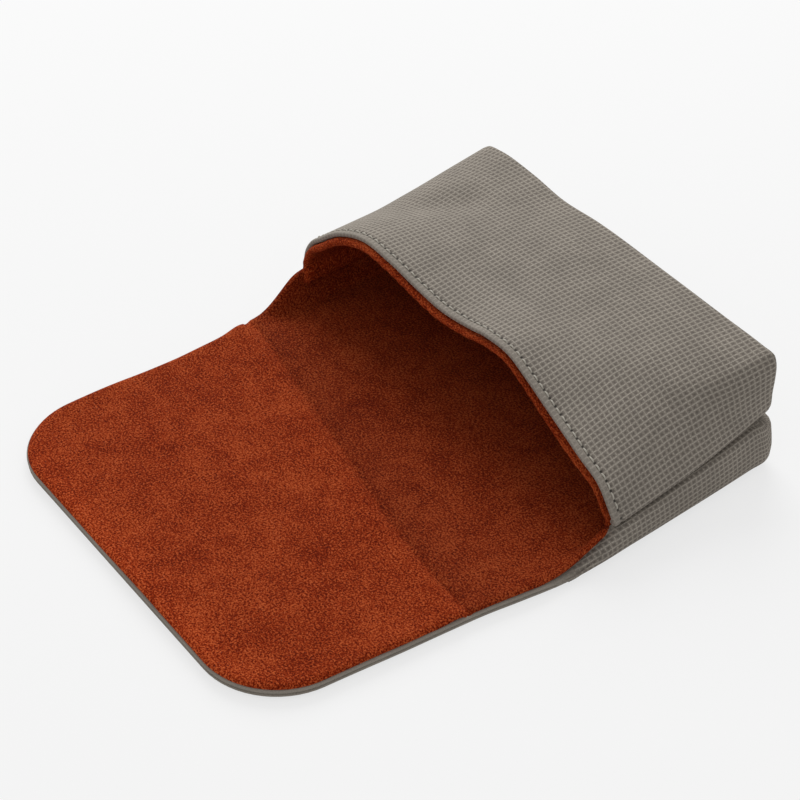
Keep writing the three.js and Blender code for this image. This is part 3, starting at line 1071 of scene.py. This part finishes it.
# How the lining lies on the padding: slack, and a soft fold line that runs askew across the flap.
suedeLie = {
    "height": 4.25,
    "slack": ({"seed": 21, "wave": 38.0, "height": 0.16}, {"seed": 22, "wave": 14.0, "height": 0.05}),
    "crease": [
        (-66.0, -54.8),
        (-26.5, -61.5),
        (3.0, -67.1),
        (27.8, -72.2),
        (42.2, -74.1),
        (60.0, -75.8),
        (74.0, -76.6),
    ],
    "creaseDepth": 0.9,
    "creaseWidth": 0.9,
    "ridgeHeight": 0.45,
    "ridgeWidth": 3.0,
    "ridgeAhead": 3.5,
}


def pastCrease(x, y):
    # How far behind the crease a place is, measured along y.
    return y - passThrough(*np.array(suedeLie["crease"]).T, x)


def suedeFloor(x, y):
    # Slack waves, a sharp bell-shaped groove along the crease and a wide soft ridge ahead of it.
    past = pastCrease(x, y)
    slack = sum(ripple(x, y, **wave) for wave in suedeLie["slack"])
    groove = suedeLie["creaseDepth"] * np.exp(-((past / suedeLie["creaseWidth"]) ** 2))
    fromRidge = (past + suedeLie["ridgeAhead"]) / suedeLie["ridgeWidth"]
    return suedeLie["height"] + slack - groove + suedeLie["ridgeHeight"] * np.exp(-(fromRidge**2))


def paintedNapShadeAndSheen(x, y):
    # Behind the crease the pile is darker, most of all at the crease: painted shade from the pocket, and
    # partly the pile
    #     lying away. At the end of the flap it is paler, a painted sheen.
    past = pastCrease(x, y)
    fade = suedePile["napAndShadeFade"]
    far = suedePile["napAndShadeFar"]
    nearCrease = np.exp(-np.maximum(past, 0.0) / suedePile["napAndShadeReach"])
    # The share of painted shade and nap: full at the crease, easing to its far share behind it.
    turned = ease(-fade, fade, past) * (far + (1.0 - far) * nearCrease)
    # A painted sheen: the end of the flap is paler, fading over its reach.
    fromEnd = y - flapEndY + tray["flapOver"]
    rim = suedePile["rim"] * np.exp(-fromEnd / suedePile["endSheenReach"])
    return (1.0 - suedePile["napAndShade"] * turned) * (1.0 + rim)


trayParts = {
    "back": {"bodies": ("pouch", "flap_spine"), "fold": baseFoldY},
    "flap": {"bodies": ("flap_spine", "flap_front"), "fold": frontFoldY},
}
for part, joint in trayParts.items():
    x, y = trayFloor(part, tray["columns"], tray["spacing"])
    floor = np.stack([x, y, np.full_like(x, tray["floor"])], -1)
    points, quads, uv = trayRim(floor, part, clothProfile, tray["clothRings"])
    plainHem = ease(*tray["plainAbove"], points[:, 2]) * ease(*tray["plainAhead"], points[:, 1])
    sheet = (points, quads[:, ::-1], uv, outerCloth, tray["clothThickness"])
    cloth = addPiece(part + "Cloth", *sheet, marks={"plainHem": plainHem})
    floor = np.stack([x, y, suedeFloor(x, y)], -1)
    points, quads, uv = trayRim(floor, part, suedeProfile, tray["suedeRings"])
    # Painted shade behind the crease (partly brushed nap) and a painted sheen at the end of the flap.
    napShadeAndSheen = paintedNapShadeAndSheen(points[:, 0], points[:, 1])
    sheet = (points, quads, uv, rustSuede, tray["suedeThickness"])
    suede = addPiece(part + "Suede", *sheet, marks={"napShadeAndSheen": napShadeAndSheen})
    start = (0.0, (joint["fold"] + tray["bendReach"]) * mm, 0.0)
    for piece in (cloth, suede):
        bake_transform(piece)
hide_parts("back_outer", "base_fold_cloth", "spine_outer")
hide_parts("front_fold_cloth", "flap_outer")
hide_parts("back_lining", "spine_lining")
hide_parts("flap_lining")
print("back, spine and flap cloth and lining made")

# Foam of the back, a floor with low walls, and flat slabs in the spine and the flap.
foamSlab = {
    "height": 2.0,
    "thickness": 1.4,
    "foldClear": 3.0,
    "edgeClear": 5.0,
    "rows": 24,
    "columns": 30,
    "backFrom": -31.0,
    "backColumns": 40,
    "backSpacing": 3.0,
    "backRings": 12,
}
x, y = trayFloor("back", foamSlab["backColumns"], foamSlab["backSpacing"])
floor = np.stack([x, y, np.full_like(x, foamSlab["height"])], -1)[y[:, 0] > foamSlab["backFrom"]]
points, quads, uv = trayRim(floor, "back", foamProfile, foamSlab["backRings"])
backFoam = addPiece("backFoam", points, quads, uv, foamSheet, foamSlab["thickness"], 0.0)
dressFoam(backFoam, "pouch", "back_padding")
spineEnds = (frontFoldY + foamSlab["foldClear"], baseFoldY - foamSlab["foldClear"])
flapEnds = (flapEndY + foamSlab["edgeClear"], frontFoldY - foamSlab["foldClear"])
for name, body, node, (low, high), corner in (
    ("spineFoam", "flap_spine", "spine_padding", spineEnds, 0.0),
    ("flapFoam", "flap_front", "flap_padding", flapEnds, tray["flapCorner"] - foamSlab["edgeClear"]),
):
    y = np.linspace(low, high, foamSlab["rows"])
    intoCorner = np.clip(corner - (y - low), 0.0, corner)
    back = corner - np.sqrt(corner**2 - intoCorner**2)
    x = rowsAcross(y, foamSlab["edgeClear"] + back, foamSlab["columns"])
    slab = np.stack(np.broadcast_arrays(x, y[:, None], foamSlab["height"]), -1)
    points = slab.reshape(-1, 3)
    quads = quadsOf(gridIndex(slab))
    foam = addPiece(name, points, quads, points[:, :2], foamSheet, foamSlab["thickness"], 0.0)
    dressFoam(foam, body, node)
print("foam made")

# Seam allowance: a narrow band turned down inside the lower wall.
seamBand = {
    "out": 3.75,
    "belowTop": 2.7,
    "drop": 4.0,
    "thickness": 0.7,
    "from": -27.0,
    "columns": 60,
    "spacing": 1.5,
    "steps": 5,
}
x, y = trayFloor("back", seamBand["columns"], seamBand["spacing"])
floor = np.stack([x, y, np.zeros_like(x)], -1)[y[:, 0] > seamBand["from"]]
start, outward = borderOf(floor, "back")[1:]
line = start[:, :2] + outward * seamBand["out"]
top = heightAt(start[:, 0], start[:, 1]) - seamBand["belowTop"]
drop = np.linspace(0.0, seamBand["drop"], seamBand["steps"])
band = np.stack(np.broadcast_arrays(line[:, :1], line[:, 1:], top[:, None] - drop), -1)
points = band.reshape(-1, 3)
quads = quadsOf(gridIndex(band))
seamTurn = addPiece("seamTurn", points, quads, points[:, 1:], turnedCloth, seamBand["thickness"], 0.0)
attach(seamTurn, "pouch")
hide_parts("seam_allowance")
print("seam allowance made")

# Stage: a pale table, even light from all round and a wide soft light from the far left.
studio = {"halfTable": 4000.0, "table": 0.82, "tableGlow": 0.7, "surround": 0.55}
windowLight = {"at": (-900.0, 500.0, 850.0), "aim": (-10.0, -40.0, 20.0), "size": 900.0, "power": 11.5}
white = (1.0, 1.0, 1.0, 1.0)


def seenDirectly(tree):
    # One for rays from the camera and for those that a mirror or glass sends on, else nought.
    path = addNode(tree, "LightPath")
    seen = path.outputs["Is Camera Ray"]
    for rays in ("Is Glossy Ray", "Is Transmission Ray"):
        feeds = {0: seen, 1: path.outputs[rays]}
        seen = addNode(tree, "Math", {"operation": "MAXIMUM"}, feeds).outputs[0]
    return seen


# Matt white board: it takes the shadow, and a share of plain white keeps it pale to the camera.
tableTop, tree, shader = newMaterial("paleTable")
shader.inputs["Base Color"].default_value = (*(studio["table"],) * 3, 1.0)
shader.inputs["Roughness"].default_value = 0.9
shader.inputs["Specular IOR Level"].default_value = 0.0
glow = addNode(tree, "Emission", {}, {"Color": white, "Strength": 1.0})
share = addNode(
    tree, "Math", {"operation": "MULTIPLY"}, {0: seenDirectly(tree), 1: studio["tableGlow"]}
)
table = addNode(
    tree, "MixShader", {}, {0: share.outputs[0], 1: shader.outputs["BSDF"], 2: glow.outputs[0]}
)
tree.links.new(table.outputs[0], tree.nodes["Material Output"].inputs["Surface"])
half = studio["halfTable"] * mm
floorMesh = bpy.data.meshes.new("floor")
floorMesh.from_pydata(
    [(-half, -half, 0.0), (half, -half, 0.0), (half, half, 0.0), (-half, half, 0.0)], [], [(0, 1, 2, 3)]
)
floorMesh.materials.append(tableTop)
floorPiece = bpy.data.objects.new("floor", floorMesh)
scene.collection.objects.link(floorPiece)
floorPiece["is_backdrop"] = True

world = bpy.data.worlds.new("studio")
scene.world = world
world.use_nodes = True
tree = world.node_tree
level = addNode(
    tree, "MapRange", {}, {"Value": seenDirectly(tree), "To Min": studio["surround"], "To Max": 1.0}
)
tree.nodes["Background"].inputs["Color"].default_value = white
tree.links.new(level.outputs[0], tree.nodes["Background"].inputs["Strength"])

lamp = bpy.data.lights.new("window", "AREA")
lamp.size = windowLight["size"] * mm
lamp.energy = windowLight["power"]
light = bpy.data.objects.new("window", lamp)
light.location = np.array(windowLight["at"]) * mm
aim = np.array(windowLight["aim"]) - np.array(windowLight["at"])
tilt = math.atan2(math.hypot(aim[0], aim[1]), -aim[2])
light.rotation_euler = (tilt, 0.0, math.atan2(aim[1], aim[0]) - 0.5 * math.pi)
scene.collection.objects.link(light)

# Camera: azimuth, elevation, distance and aim were fitted to the photograph's edges.
shot = {
    "azimuth": 54.3,
    "elevation": 39.6,
    "distance": 639.1,
    "aim": (-14.23, -37.74, 0.0),
    "lens": 100.17,
    "sensor": 36.0,
    "clip": (10.0, 20000.0),
}
turnBy = math.radians(shot["azimuth"])
rise = math.radians(shot["elevation"])
back = np.array([math.sin(turnBy) * math.cos(rise), -math.cos(turnBy) * math.cos(rise), math.sin(rise)])
lensData = bpy.data.cameras.new("camera")
lensData.sensor_width = shot["sensor"]
lensData.lens = shot["lens"]
lensData.clip_start = shot["clip"][0] * mm
lensData.clip_end = shot["clip"][1] * mm
camera = bpy.data.objects.new("camera", lensData)
camera.location = (np.array(shot["aim"]) + back * shot["distance"]) * mm
camera.rotation_euler = (0.5 * math.pi - rise, 0.0, turnBy)
scene.collection.objects.link(camera)
scene.camera = camera
scene.view_settings.view_transform = "Standard"

bpy.context.view_layer.update()
low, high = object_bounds()
print("stage and camera set")
